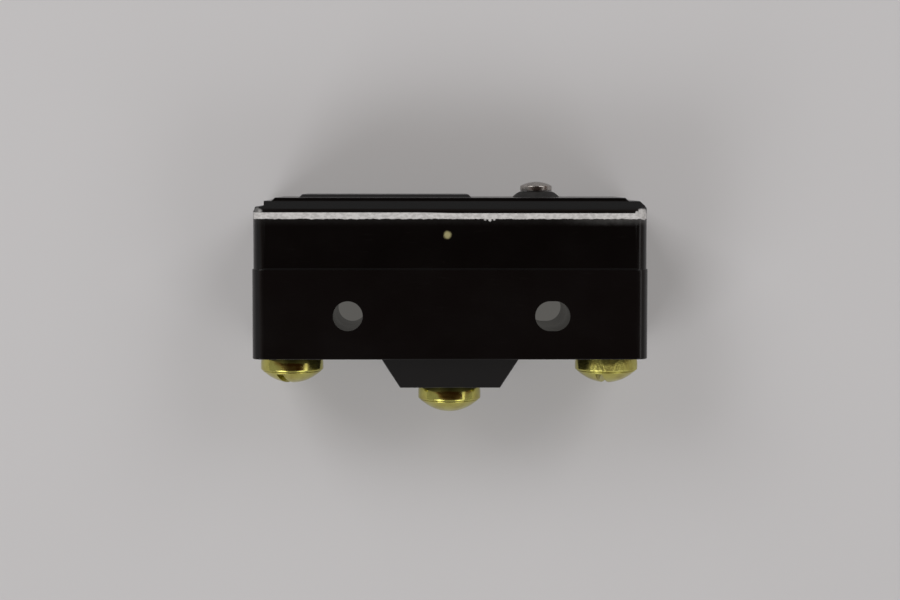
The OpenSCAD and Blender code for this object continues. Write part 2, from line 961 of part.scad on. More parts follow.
case();
cover();
cover_screws();
plunger_pin();
plunger_foot();
boot_seal();
guide_bush();
nc_insert();
no_insert();
com_insert();
nc_washer();
no_washer();
com_washer();
nc_screw();
no_screw();
com_screw();
com_anchor();
snap_blade();
blade_clamp();
clamp_rivets();
moving_contact();
no_strap();
no_contact();
nc_bracket();
nc_contact();
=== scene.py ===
"""Large basic snap-action switch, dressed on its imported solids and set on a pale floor."""

import json
import math

import bmesh
import bpy
from bpy.props import FloatProperty, FloatVectorProperty, IntProperty, PointerProperty
from bpy.types import Operator, Panel, PropertyGroup
from mathutils import Matrix, Vector
from mathutils.bvhtree import BVHTree


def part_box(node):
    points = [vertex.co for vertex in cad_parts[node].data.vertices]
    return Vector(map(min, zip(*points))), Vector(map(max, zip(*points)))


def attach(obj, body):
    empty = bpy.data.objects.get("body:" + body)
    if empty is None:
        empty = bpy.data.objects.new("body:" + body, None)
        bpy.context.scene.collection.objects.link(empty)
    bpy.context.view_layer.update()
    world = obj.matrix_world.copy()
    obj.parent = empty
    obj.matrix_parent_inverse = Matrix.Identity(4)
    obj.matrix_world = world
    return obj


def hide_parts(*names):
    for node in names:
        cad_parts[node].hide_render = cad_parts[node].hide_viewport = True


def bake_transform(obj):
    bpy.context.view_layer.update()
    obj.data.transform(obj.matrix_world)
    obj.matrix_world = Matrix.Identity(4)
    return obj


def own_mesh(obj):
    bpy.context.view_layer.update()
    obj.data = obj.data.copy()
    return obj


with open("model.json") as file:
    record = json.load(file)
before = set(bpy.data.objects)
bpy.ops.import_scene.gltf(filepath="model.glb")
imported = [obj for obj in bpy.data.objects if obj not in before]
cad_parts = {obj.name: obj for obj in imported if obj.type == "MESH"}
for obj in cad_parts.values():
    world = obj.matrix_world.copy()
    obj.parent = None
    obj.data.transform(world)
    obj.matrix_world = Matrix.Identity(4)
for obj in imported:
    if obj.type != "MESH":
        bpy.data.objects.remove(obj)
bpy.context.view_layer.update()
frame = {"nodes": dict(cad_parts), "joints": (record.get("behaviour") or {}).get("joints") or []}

bl_info = {
    "name": "Snap-action switch",
    "version": (1, 0, 0),
    "blender": (4, 5, 0),
    "location": "3D View > Sidebar > Switch",
    "description": "Dresses a basic switch with a sealed plunger and three screw terminals",
    "category": "Add Mesh",
}

MM = 0.001
NODES = frame["nodes"]
JOINTS = {joint["name"]: joint for joint in frame["joints"]}
TERMINALS = ("nc", "no", "com")
# Mounting holes: how far each lies from the middle, and a radius that takes in the longer one
HOLE_REACH = 12.7 * MM
HOLE_ROOM = 2.5 * MM
# Points of a piece that lie closer than this are one
WELD = 0.001 * MM
# Radius of the small ring that ends a dome
TIP = 0.06 * MM
# Spacing of the cuts across each length of the snap blade
BEND_STEP = 0.5 * MM

# Spots of the stripe's paint: place, radius and softness in millimetres, and strength
PAINT_SPOTS = (
    # Paint that ran over the right corner
    ((24.0, 12.6, 17.1), 0.7, 0.1, 1.0),
    ((23.6, 12.9, 17.3), 0.42, 0.1, 1.0),
    ((23.05, 12.78, 17.4), 0.26, 0.08, 1.0),
    # A splash under the stripe
    ((4.3, 12.0, 17.5), 0.15, 0.08, 0.8),
    ((4.85, 11.95, 17.5), 0.2, 0.1, 1.0),
    ((5.4, 12.0, 17.5), 0.14, 0.08, 0.8),
    # Spatter on the left corner
    ((-23.9, 13.0, 17.1), 0.4, 0.2, 0.25),
    ((-23.5, 12.98, 17.2), 0.26, 0.16, 0.6),
)
# Middle of the yellow dot and softness of its edge, in millimetres
DOT_PLACE = (-0.37, 10.07, 17.5)
DOT_SOFTNESS = 0.18


def hex_linear(code):
    """Linear red, green and blue of an sRGB hex colour."""
    channels = [int(code[i : i + 2], 16) / 255 for i in (1, 3, 5)]
    return tuple(c / 12.92 if c <= 0.04045 else ((c + 0.055) / 1.055) ** 2.4 for c in channels)


def colour(name, description, code):
    """Colour property with a hex default."""
    return FloatVectorProperty(
        name=name,
        description=description,
        subtype="COLOR",
        size=3,
        min=0,
        max=1,
        default=hex_linear(code),
    )


def length(name, description, millimetres):
    """Length property with a default in millimetres."""
    return FloatProperty(
        name=name,
        description=description,
        subtype="DISTANCE",
        unit="LENGTH",
        precision=5,
        min=0,
        default=millimetres * MM,
    )


def light(name, description, level):
    """Light level against a white sheet in full light."""
    return FloatProperty(name=name, description=description, default=level, min=0, max=40)


class SwitchColours(PropertyGroup):
    """Colours of the finishes"""

    case: colour("Case", "Phenolic of the case", "#090707")
    cover: colour("Cover", "Phenolic of the cover", "#050404")
    haze: colour("Haze", "Handling haze and dust on the phenolic", "#6d6a68")
    paint: colour("Stripe paint", "White paint of the stripe along the cover", "#c7c5c3")
    thin_paint: colour("Thin paint", "Stripe paint where the roller left little", "#afadab")
    dot: colour("Dot paint", "Yellow paint of the small dot", "#928c62")
    rubber: colour("Rubber", "Rubber of the plunger boot", "#131211")
    bright_brass: colour("Bright brass", "Brass of the terminal screws and cups", "#c4be69")
    tarnish: colour("Tarnish", "Brown film in the brass", "#8a6d2c")
    plain_brass: colour("Plain brass", "Brass of the inner straps and inserts", "#c9a85c")
    steel: colour("Stainless steel", "Steel of the plunger pin", "#aca7a2")
    zinc: colour("Zinc plate", "Plated steel of the cover screws", "#a7abb0")
    silver: colour("Silver", "Silver of the contacts", "#d6d3cc")
    copper: colour("Spring copper", "Copper alloy of the snap blade", "#c98a55")
    foot: colour("Foot moulding", "Brown moulding of the plunger foot", "#5a3a24")
    floor: colour("Floor", "Pale floor", "#b3b2b4")
    # Colour of the floor's painted glow: an emission that lifts its shade under the switch, not
    # light through a translucent floor
    glow: colour("Floor glow", "Light that the translucent floor carries", "#bdbab4")
    opening: colour("Tent opening", "Dim warm room seen through the tent's opening", "#f09040")


class SwitchSizes(PropertyGroup):
    """Sizes that the solids leave to the dressing"""

    edge_softness: length("Edge softness", "Rounding of the moulded edges", 0.1)
    slot_softness: length("Slot softness", "Rounding of the screw slots", 0.05)
    stripe_low: length("Stripe bottom", "Lower edge of the stripe above the hole line", 12.04)
    stripe_high: length("Stripe top", "Upper edge of the stripe above the hole line", 12.83)
    stripe_wrap: length("Stripe wrap", "How far the stripe goes round the corners", 1.1)
    stripe_ragged: length("Stripe raggedness", "Waver of the lower edge of the stripe", 0.06)
    dot_diameter: length("Dot diameter", "Diameter of the painted dot", 0.85)
    stem_diameter: length("Stem diameter", "Diameter of the plunger stem", 2.3)
    button_height: length("Button height", "Height of the plunger's button", 1.15)
    button_wall: length("Button wall", "Height of the upright side of the plunger's button", 0.52)
    button_edge: length("Button edge", "Rounding round the crown of the plunger's button", 0.16)
    boot_base: length("Boot base", "Diameter of the boot at the cover", 6)
    boot_top: length("Boot top", "Diameter of the boot under the button", 3.6)
    boot_rise: length("Boot rise", "Height of the boot above the cover", 0.75)
    boot_wall: length("Boot wall", "Wall of the boot", 0.5)
    boot_seat: length("Boot seat", "Depth of the boot's seat below the plateau", 1.3)
    washer_gauge: length("Cup gauge", "Sheet thickness of the cup washers", 0.5)
    washer_hole: length("Cup hole", "Hole in the cup washers", 4.0)
    washer_corner: length("Cup corner", "Rounding of the cup washers at the screw head", 0.25)
    washer_taper: length("Cup taper", "How far the cup washers draw in towards the case", 0.34)
    washer_straight: length("Cup straight side", "Height of the straight part of the cups", 0.85)
    head_rim: length("Head rim", "Straight rim of the screw heads", 0.1)
    head_dome: length("Head dome", "Height of the domed screw heads", 1.5)
    thread_diameter: length("Thread diameter", "Diameter of the terminal screws", 3.5)
    thread_pitch: length("Thread pitch", "Pitch of the terminal screws", 0.794)
    thread_depth: length("Thread depth", "Depth of the screws' thread", 0.4)
    slot_width: length("Slot width", "Width of the screwdriver slots", 0.9)
    slot_depth: length("Slot depth", "Depth of the screwdriver slots", 1.3)
    turn_steps: IntProperty(
        name="Turning steps",
        description="Faces round a turned piece",
        default=96,
        min=24,
        max=192,
    )


class SwitchStage(PropertyGroup):
    """Camera, light and floor"""

    lens: FloatProperty(
        name="Lens",
        description="Focal length on a 36 mm sensor",
        unit="CAMERA",
        default=79.5,
        min=20,
        max=200,
    )
    camera_place: FloatVectorProperty(
        name="Camera place",
        description="Where the camera stands above the switch",
        subtype="TRANSLATION",
        unit="LENGTH",
        precision=5,
        default=(-3.72 * MM, 17.5 * MM, 262.95 * MM),
    )
    camera_turn: FloatVectorProperty(
        name="Camera turn",
        description="How the camera is turned from straight down",
        subtype="EULER",
        unit="ROTATION",
        default=(math.radians(-3.61), math.radians(-0.855), math.radians(0.046)),
    )
    tent: light("Tent", "Level of the soft light tent all round", 0.36)
    opening: light("Tent opening", "Level of the tent's opening above the switch", 0.024)
    left_softboxes: light("Left softboxes", "Level of the two softboxes at the left", 5.6)
    right_softboxes: light("Right softboxes", "Level of the two softboxes at the right", 4.0)
    left_front: light("Left front share", "Level of the left front box against the back", 0.9)
    right_front: light("Right front share", "Level of the right front box against the back", 0.62)
    strip: light("Strip", "Level of the strip light at the right", 1.1)
    # Level of the floor's painted glow: an emission that lifts its shade under the switch and in
    # reflections
    floor_glow: light("Floor glow", "Light that the floor carries under the switch", 0.2)


def feed(node, sockets):
    """Sets or links inputs of a node, given by name or as a row in the node's own order.

    The row of a Map Range is its value, From Min, From Max, To Min and To Max.
    """
    pairs = sockets.items() if isinstance(sockets, dict) else enumerate(sockets)
    for name, value in pairs:
        if isinstance(value, bpy.types.NodeSocket):
            node.id_data.links.new(value, node.inputs[name])
        else:
            node.inputs[name].default_value = value


def add_node(tree, kind, sockets=(), **settings):
    """Adds a shader node with its settings and links, and returns the first output in use."""
    node = tree.nodes.new(f"ShaderNode{kind}")
    for name, value in settings.items():
        setattr(node, name, value)
    feed(node, sockets)
    return next(socket for socket in node.outputs if socket.enabled)


def new_material(name):
    """New material, with its tree, its surface shader and the piece's own coordinates."""
    material = bpy.data.materials.new(name)
    material.use_nodes = True
    tree = material.node_tree
    coordinates = add_node(tree, "TexCoord").node.outputs["Object"]
    return material, tree, tree.nodes["Principled BSDF"], coordinates


def per(millimetres):
    """Texture scale that gives features of this size."""
    return 1 / (millimetres * MM)


def rgba(value):
    """Colour with full alpha, for a colour socket."""
    return (*value, 1)


def blotched(tree, coordinates, base, film, size, detail, clear, full, most):
    """Blotches of a film over a base colour: their pattern, and the colour that comes of it.

    The film starts where the pattern passes clear, and is at its most where it passes full.
    """
    pattern = add_node(
        tree, "TexNoise", {"Vector": coordinates, "Scale": per(size), "Detail": detail}
    )
    mask = add_node(tree, "MapRange", (pattern, clear, full, 0, most))
    tone = add_node(
        tree, "Mix", {"Factor": mask, "A": rgba(base), "B": rgba(film)}, data_type="RGBA"
    )
    return pattern, tone


def phenolic_surface(tree, shader, coordinates, base, haze, roughness=0.18):
    """Colour of moulded phenolic, after setting its gloss and grain on the shader."""
    rub = add_node(
        tree, "Mapping", {"Vector": coordinates, "Rotation": (0, 0, 0.4), "Scale": (0.12, 1, 1)}
    )
    # Filler grain is about 0.05 mm; drawn at 0.3 mm so that it shows
    cloud, grain, scuffs = [
        add_node(tree, "TexNoise", {"Vector": vector, "Scale": per(size), "Detail": detail})
        for vector, size, detail in ((coordinates, 7, 3), (coordinates, 0.3, 2), (rub, 0.35, 4))
    ]
    specks = add_node(tree, "TexVoronoi", {"Vector": coordinates, "Scale": per(4.5)})
    # Scuffs stay faint, specks of dust are small and clear, and the gloss drifts with the cloud
    scuff_mask, speck_mask, gloss = [
        add_node(tree, "MapRange", row)
        for row in (
            (scuffs, 0.62, 0.8, 0, 0.012),
            (specks, 0.012, 0.022, 0.16, 0),
            (cloud, 0.3, 0.7, roughness, roughness + 0.06),
        )
    ]
    marks = add_node(tree, "Math", (scuff_mask, speck_mask), operation="MAXIMUM")
    relief = add_node(tree, "Bump", {"Height": grain, "Strength": 0.12, "Distance": 0.02 * MM})
    feed(shader, {"Roughness": gloss, "Normal": relief, "IOR": 1.6, "Specular IOR Level": 0.3})
    return add_node(
        tree, "Mix", {"Factor": marks, "A": rgba(base), "B": rgba(haze)}, data_type="RGBA"
    )


def moulded_phenolic(colours):
    """Satin black phenolic: deep black, faint clouding in the gloss, a little haze and dust."""
    material, tree, shader, coordinates = new_material("Moulded phenolic")
    surface = phenolic_surface(tree, shader, coordinates, colours.case, colours.haze)
    feed(shader, {"Base Color": surface})
    return material


def matt_phenolic(colours):
    """Phenolic as the terminal side leaves the mould: the same black, without the polish."""
    material, tree, shader, coordinates = new_material("Matt phenolic")
    surface = phenolic_surface(
        tree, shader, coordinates, colours.case, colours.haze, roughness=0.55
    )
    feed(shader, {"Base Color": surface, "Specular IOR Level": 0.12})
    return material


def paint_spot(tree, coordinates, waver, centre, radius, softness, strength=1.0):
    """Mask of a spot of paint, placed and sized in millimetres, with a wavering edge."""
    away = add_node(
        tree, "VectorMath", (coordinates, [c * MM for c in centre]), operation="DISTANCE"
    )
    wavering = add_node(tree, "Math", (waver, away), operation="ADD")
    return add_node(
        tree,
        "MapRange",
        (wavering, (radius - softness) * MM, (radius + softness) * MM, strength, 0),
        interpolation_type="SMOOTHSTEP",
    )


def painted_phenolic(colours, sizes):
    """Black phenolic with a hand-rolled white stripe, its smears, and a dab of yellow paint."""
    material, tree, shader, coordinates = new_material("Painted phenolic")
    surface = phenolic_surface(tree, shader, coordinates, colours.cover, colours.haze)
    along, up, out = add_node(tree, "SeparateXYZ", {"Vector": coordinates}).node.outputs

    # The roller left a ragged lower edge, and thin and thick blotches about 0.5 mm across
    rolled = add_node(tree, "Mapping", {"Vector": coordinates, "Scale": (0.6, 1, 1)})
    ragged, blotches = [
        add_node(tree, "TexNoise", {"Vector": vector, "Scale": per(size), "Detail": detail})
        for vector, size, detail in ((coordinates, 0.7, 4), (rolled, 0.3, 5))
    ]
    waver = add_node(
        tree, "MapRange", (ragged, 0.3, 0.7, -sizes.stripe_ragged, sizes.stripe_ragged)
    )
    wavering_up = add_node(tree, "Math", (up, waver), operation="ADD")
    # The top edge is clean, and runs a little lower along the right half
    dip = 0.085 * MM
    right_half = add_node(tree, "MapRange", (along, -4 * MM, MM), interpolation_type="SMOOTHSTEP")
    dipped_up = add_node(tree, "Math", (right_half, dip, up), operation="MULTIPLY_ADD")

    edge = 0.03 * MM
    low, high = sizes.stripe_low, sizes.stripe_high
    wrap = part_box("cover")[1].z - sizes.stripe_wrap
    above_low, below_high, on_front, smear_low, smear_share, coat = [
        add_node(tree, "MapRange", row, interpolation_type="SMOOTHSTEP")
        for row in (
            (wavering_up, low - edge, low + edge, 0, 1),
            (dipped_up, high + edge, high - edge, 0, 1),
            (out, wrap - 2 * edge, wrap + 2 * edge, 0, 1),
            # A thin smear below the stripe, heaviest towards the right end
            (wavering_up, low - MM, low, 0, 1),
            (along, 12.5 * MM, 20.5 * MM, 0.012, 0.09),
            (blotches, 0.36, 0.62, 0, 1),
        )
    ]
    # Stripe and smear both end at the top edge, and at the wrap round the corners
    within, thin = [
        add_node(tree, "Math", (one, other), operation="MULTIPLY")
        for one, other in ((below_high, on_front), (smear_low, smear_share))
    ]
    stripe, smear = [
        add_node(tree, "Math", (layer, within), operation="MULTIPLY")
        for layer in (above_low, thin)
    ]
    for spot in PAINT_SPOTS:
        mask = paint_spot(tree, coordinates, waver, *spot)
        stripe = add_node(tree, "Math", (stripe, mask), operation="MAXIMUM")
    dot_radius = sizes.dot_diameter / MM / 2
    dot = paint_spot(tree, coordinates, waver, DOT_PLACE, dot_radius, DOT_SOFTNESS)
    white, covered = [
        add_node(tree, "Math", (stripe, mask), operation="MAXIMUM")
        for mask in (smear, dot)
    ]

    coat_colour = add_node(
        tree,
        "Mix",
        {"Factor": coat, "A": rgba(colours.thin_paint), "B": rgba(colours.paint)},
        data_type="RGBA",
    )
    painted = surface
    for mask, paint in ((white, coat_colour), (dot, rgba(colours.dot))):
        painted = add_node(
            tree, "Mix", {"Factor": mask, "A": painted, "B": paint}, data_type="RGBA"
        )
    # Dry paint is duller than the moulding
    gloss = shader.inputs["Roughness"].links[0].from_socket
    dull = add_node(tree, "Mix", {"Factor": covered, "A": gloss, "B": 0.55})
    feed(shader, {"Base Color": painted, "Roughness": dull})
    return material


def moulded_rubber(colours):
    """Matt black rubber with a fine bloom."""
    material, tree, shader, coordinates = new_material("Moulded rubber")
    bloom, tone = blotched(
        tree, coordinates, colours.rubber, colours.haze, 0.6, 4, clear=0.45, full=0.75, most=0.12
    )
    relief = add_node(tree, "Bump", {"Height": bloom, "Strength": 0.2, "Distance": 0.03 * MM})
    feed(
        shader,
        {"Base Color": tone, "Normal": relief, "Roughness": 0.62, "Specular IOR Level": 0.35},
    )
    return material


def turned_metal(name, base, film, roughness, ring, relief_depth, dent_depth=0.02, wear=None):
    """Turned metal: fine tool rings round the axis, drifting gloss and a thin film of tarnish.

    Ring and both depths are in millimetres. Wear is the pair of places along X between which a
    polished side turns scratched and dull.
    """
    material, tree, shader, coordinates = new_material(name)
    drift, tone = blotched(tree, coordinates, base, film, 1.4, 4, clear=0.45, full=0.8, most=0.55)
    gloss = add_node(tree, "MapRange", (drift, 0.3, 0.7, roughness - 0.05, roughness + 0.08))
    # Tool marks run along Y levels on a piece turned about Y; dents are about a millimetre across
    rings = add_node(tree, "Mapping", {"Vector": coordinates, "Scale": (0.05, 1, 0.05)})
    marks, dents = [
        add_node(tree, "TexNoise", {"Vector": vector, "Scale": per(size), "Detail": detail})
        for vector, size, detail in ((rings, ring, 2), (coordinates, 1.1, 1))
    ]
    relief = add_node(
        tree, "Bump", {"Height": marks, "Strength": 0.25, "Distance": relief_depth * MM}
    )
    relief = add_node(
        tree,
        "Bump",
        {"Height": dents, "Strength": 0.5, "Distance": dent_depth * MM, "Normal": relief},
    )
    if wear:
        axes = add_node(tree, "SeparateXYZ", {"Vector": coordinates}).node.outputs
        worn = add_node(tree, "MapRange", (axes["X"], *wear), interpolation_type="SMOOTHSTEP")
        dulling = 0.26
        gloss = add_node(tree, "Math", (worn, dulling, gloss), operation="MULTIPLY_ADD")
        # Scratches along the axis, a few tenths of a millimetre apart
        drawn = add_node(tree, "Mapping", {"Vector": coordinates, "Scale": (1, 0.4, 1)})
        scratches = add_node(tree, "TexNoise", {"Vector": drawn, "Scale": per(0.4), "Detail": 2})
        relief = add_node(
            tree,
            "Bump",
            {"Height": scratches, "Strength": worn, "Distance": 0.13 * MM, "Normal": relief},
        )
    feed(shader, {"Base Color": tone, "Roughness": gloss, "Normal": relief, "Metallic": 1})
    return material


def rolled_strip(name, base, film, roughness):
    """Rolled strip: streaks along the strip, and blotches from handling."""
    material, tree, shader, coordinates = new_material(name)
    tone = blotched(tree, coordinates, base, film, 2.5, 3, clear=0.45, full=0.75, most=0.5)[1]
    stretch = add_node(tree, "Mapping", {"Vector": coordinates, "Scale": (0.04, 1, 1)})
    streaks = add_node(tree, "TexNoise", {"Vector": stretch, "Scale": per(0.3), "Detail": 3})
    gloss = add_node(tree, "MapRange", (streaks, 0.3, 0.7, roughness - 0.06, roughness + 0.08))
    feed(shader, {"Base Color": tone, "Roughness": gloss, "Metallic": 1})
    return material


def brown_moulding(colours):
    """Brown fabric-filled moulding, with short fibres that show as flecks."""
    material, tree, shader, coordinates = new_material("Filled brown moulding")
    tone = blotched(
        tree, coordinates, colours.foot, colours.tarnish, 0.4, 4, clear=0.5, full=0.75, most=0.5
    )[1]
    feed(shader, {"Base Color": tone, "Roughness": 0.5})
    return material


def finish(piece, material):
    """Gives a piece or a CAD node one material."""
    if piece.material_slots:
        for slot in piece.material_slots:
            slot.material = material
    else:
        piece.data.materials.append(material)


def deselect():
    """Leaves nothing selected and no active object."""
    bpy.ops.object.select_all(action="DESELECT")
    bpy.context.view_layer.objects.active = None


def choose(piece):
    """Makes one object the only selected and active one."""
    deselect()
    piece.select_set(True)
    bpy.context.view_layer.objects.active = piece


def edit(piece):
    """Opens a piece in edit mode with all of it selected."""
    choose(piece)
    bpy.ops.object.mode_set(mode="EDIT")
    bpy.ops.mesh.select_mode(type="EDGE")
    bpy.ops.mesh.select_all(action="SELECT")


def close_edit():
    """Goes back to object mode."""
    bpy.ops.object.mode_set(mode="OBJECT")


def apply_modifier(piece, kind, **settings):
    """Adds a modifier to a piece and applies it."""
    choose(piece)
    modifier = piece.modifiers.new(kind.title(), kind)
    for name, value in settings.items():
        setattr(modifier, name, value)
    bpy.ops.object.modifier_apply(modifier=modifier.name)


def smooth(piece, degrees=32):
    """Smooth shading up to an angle, with flat faces kept flat."""
    choose(piece)
    bpy.ops.object.shade_smooth_by_angle(angle=math.radians(degrees))
    apply_modifier(piece, "WEIGHTED_NORMAL", keep_sharp=True)


def block(low, high):
    """Plain block between two corners, for cutting with."""
    low, high = Vector(low), Vector(high)
    deselect()
    bpy.ops.mesh.primitive_cube_add(size=1, location=(low + high) / 2)
    cutter = bpy.context.active_object
    edit(cutter)
    bpy.ops.transform.resize(value=high - low)
    close_edit()
    bpy.ops.object.transform_apply()
    return cutter


def discard(piece):
    """Deletes a piece that was only a pattern or a cutter."""
    mesh = piece.data
    bpy.data.objects.remove(piece)
    bpy.data.meshes.remove(mesh)


def cut(piece, operation, cutter):
    """Cuts a piece with another one, which is used up."""
    apply_modifier(piece, "BOOLEAN", object=cutter, operation=operation, solver="EXACT")
    discard(cutter)


def all_solids():
    """Tree of every CAD triangle, for finding what is open to the air."""
    points, faces = [], []
    for node in NODES.values():
        first = len(points)
        points += [v.co.copy() for v in node.data.vertices]
        faces += [[first + i for i in polygon.vertices] for polygon in node.data.polygons]
    return BVHTree.FromPolygons(points, faces)


def at_hole(point):
    """Whether a point lies on the wall of a mounting hole."""
    away = min(math.hypot(point.x - side * HOLE_REACH, point.y) for side in (-1, 1))
    return away < HOLE_ROOM


def round_open_edges(piece, solids, softness, sharp=25):
    """Rounds the sharp edges of a piece that are open to the air, but not the rims of its holes."""
    clear = 0.02 * MM
    edit(piece)
    mesh = bmesh.from_edit_mesh(piece.data)
    for edge in mesh.edges:
        edge.select_set(False)
        if len(edge.link_faces) == 2 and edge.calc_face_angle() > math.radians(sharp):
            outward = (edge.link_faces[0].normal + edge.link_faces[1].normal).normalized()
            middle = (edge.verts[0].co + edge.verts[1].co) / 2
            hit = solids.ray_cast(middle + outward * clear, outward)[0]
            edge.select_set(hit is None and not at_hole(middle))
    bmesh.update_edit_mesh(piece.data)
    bpy.ops.mesh.bevel(offset=softness, segments=3, affect="EDGES", clamp_overlap=False)
    close_edit()


def merged_copy(node, name):
    """Copy of a CAD node with its loose triangles joined into whole faces."""
    piece = bpy.data.objects.new(name, NODES[node].data.copy())
    piece.data.name = name
    piece.data.materials.clear()
    bpy.context.scene.collection.objects.link(piece)
    edit(piece)
    bpy.ops.mesh.customdata_custom_splitnormals_clear()
    bpy.ops.mesh.remove_doubles(threshold=2 * WELD)
    bpy.ops.mesh.dissolve_limited(angle_limit=math.radians(0.5))
    close_edit()
    return piece


def name_new(name):
    """Names the object that was just added, and applies its place and turn to its mesh."""
    piece = bpy.context.active_object
    piece.name = piece.data.name = name
    bpy.ops.object.transform_apply()
    return piece


def seal(sides):
    """Welds the piece in edit mode, turns its faces outward and closes it.

    Holes with up to so many sides are filled, of any size for 0 and none for None.
    """
    bpy.ops.mesh.select_all(action="SELECT")
    bpy.ops.mesh.remove_doubles(threshold=WELD)
    if sides is not None:
        bpy.ops.mesh.fill_holes(sides=sides)
    bpy.ops.mesh.select_all(action="SELECT")
    bpy.ops.mesh.normals_make_consistent(inside=False)
    close_edit()


def turn(name, rings, steps, closed=False):
    """Turns a piece about the Y axis: a circle, extruded through rings of radius and height."""
    deselect()
    bpy.ops.mesh.primitive_circle_add(
        vertices=steps,
        radius=rings[0][0],
        location=(0, rings[0][1], 0),
        rotation=(math.radians(90), 0, 0),
    )
    piece = name_new(name)
    edit(piece)
    for (radius, height), (next_radius, next_height) in zip(rings, rings[1:]):
        bpy.ops.mesh.extrude_edges_move(
            TRANSFORM_OT_translate={"value": (0, next_height - height, 0)}
        )
        grow = next_radius / radius
        bpy.ops.transform.resize(value=(grow, 1, grow), center_override=(0, next_height, 0))
    seal(None if closed else 0)
    return piece


def arc(centre, radius, start, end, steps):
    """Points on an arc, as radius and height, between two angles in degrees."""
    angles = [math.radians(start + (end - start) * i / steps) for i in range(steps + 1)]
    return [(centre[0] + radius * math.cos(a), centre[1] + radius * math.sin(a)) for a in angles]


def dome(base_radius, height, tip_radius, steps):
    """Rings of a ball cap, from a small tip ring at the given height down to its base at zero."""
    ball = (base_radius**2 + height**2) / (2 * height)
    low = math.degrees(math.asin((ball - height) / ball))
    high = math.degrees(math.acos(tip_radius / ball))
    return arc((0, height - ball), ball, high, low, steps)


def ball_band(lower, upper, height, steps):
    """Rings of a slice of a ball, from its lower radius at zero up to its upper radius."""
    drop = (lower**2 - upper**2 - height**2) / (2 * height)
    ball = math.hypot(lower, drop)
    levels = [height * i / steps for i in range(steps + 1)]
    return [(math.sqrt(ball**2 - (drop + level) ** 2), level) for level in levels]


def centre_of(node):
    """Middle of a CAD node's box."""
    low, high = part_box(node)
    return (low + high) / 2


def place(piece, name, matrix):
    """Copy of a piece with its own mesh, put in place in its mesh."""
    copy = bpy.data.objects.new(name, piece.data.copy())
    copy.data.name = name
    bpy.context.scene.collection.objects.link(copy)
    copy.data.transform(matrix)
    return copy


def turn_at(name, rings, steps, centre, closed=False):
    """Turns a single piece about an upright axis through a centre."""
    pattern = turn(f"{name}_pattern", rings, steps, closed)
    piece = place(pattern, name, Matrix.Translation(centre))
    discard(pattern)
    return piece


class SWITCH_OT_housing(Operator):
    """Case and cover: moulded shells with softened edges, and the paint on the cover"""

    bl_idname = "switch.housing"
    bl_label = "Housing"

    def execute(self, context):
        colours, sizes = context.scene.switch_colours, context.scene.switch_sizes
        solids = all_solids()
        finishes = {"case": moulded_phenolic(colours), "cover": painted_phenolic(colours, sizes)}
        for node, material in finishes.items():
            shell = merged_copy(node, f"{node}_shell")
            round_open_edges(shell, solids, sizes.edge_softness)
            if node == "cover":
                self.chip(shell)
            smooth(shell)
            finish(shell, material)
            if node == "case":
                # Faces that look down towards the terminals are matt
                shell.data.materials.append(matt_phenolic(colours))
                for face in shell.data.polygons:
                    face.material_index = int(face.normal.y < -0.99)
            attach(shell, "housing")
            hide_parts(node)
        return {"FINISHED"}

    def chip(self, shell):
        """Breaks the left shoulder of the cover away, as a knock leaves it."""
        low, high = Vector((-25.6, 13.66, -1.5)) * MM, Vector((-23.1, 15.2, 19)) * MM
        # Its floor falls gently to the kink, and steeply past it towards the end of the cover
        kink, gentle, steep = -24.15 * MM, 0.17 * MM, 3.2 * MM
        crumble, close = 0.09 * MM, 0.01 * MM
        cutter = block(low, high)
        edit(cutter)
        bpy.ops.mesh.bisect(plane_co=(kink, 0, 0), plane_no=(1, 0, 0))
        bpy.ops.mesh.select_mode(type="VERT")
        for reach, fall in ((kink, gentle), (low.x, steep)):
            mesh = bmesh.from_edit_mesh(cutter.data)
            for vertex in mesh.verts:
                at_reach = abs(vertex.co.x - reach) < close
                vertex.select_set(at_reach and vertex.co.y < low.y + close)
            bpy.ops.transform.translate(value=(0, -fall, 0))
        bpy.ops.mesh.select_all(action="SELECT")
        bpy.ops.mesh.subdivide(number_cuts=9)
        bpy.ops.transform.vertex_random(offset=crumble, seed=3)
        close_edit()
        cut(shell, "DIFFERENCE", cutter)


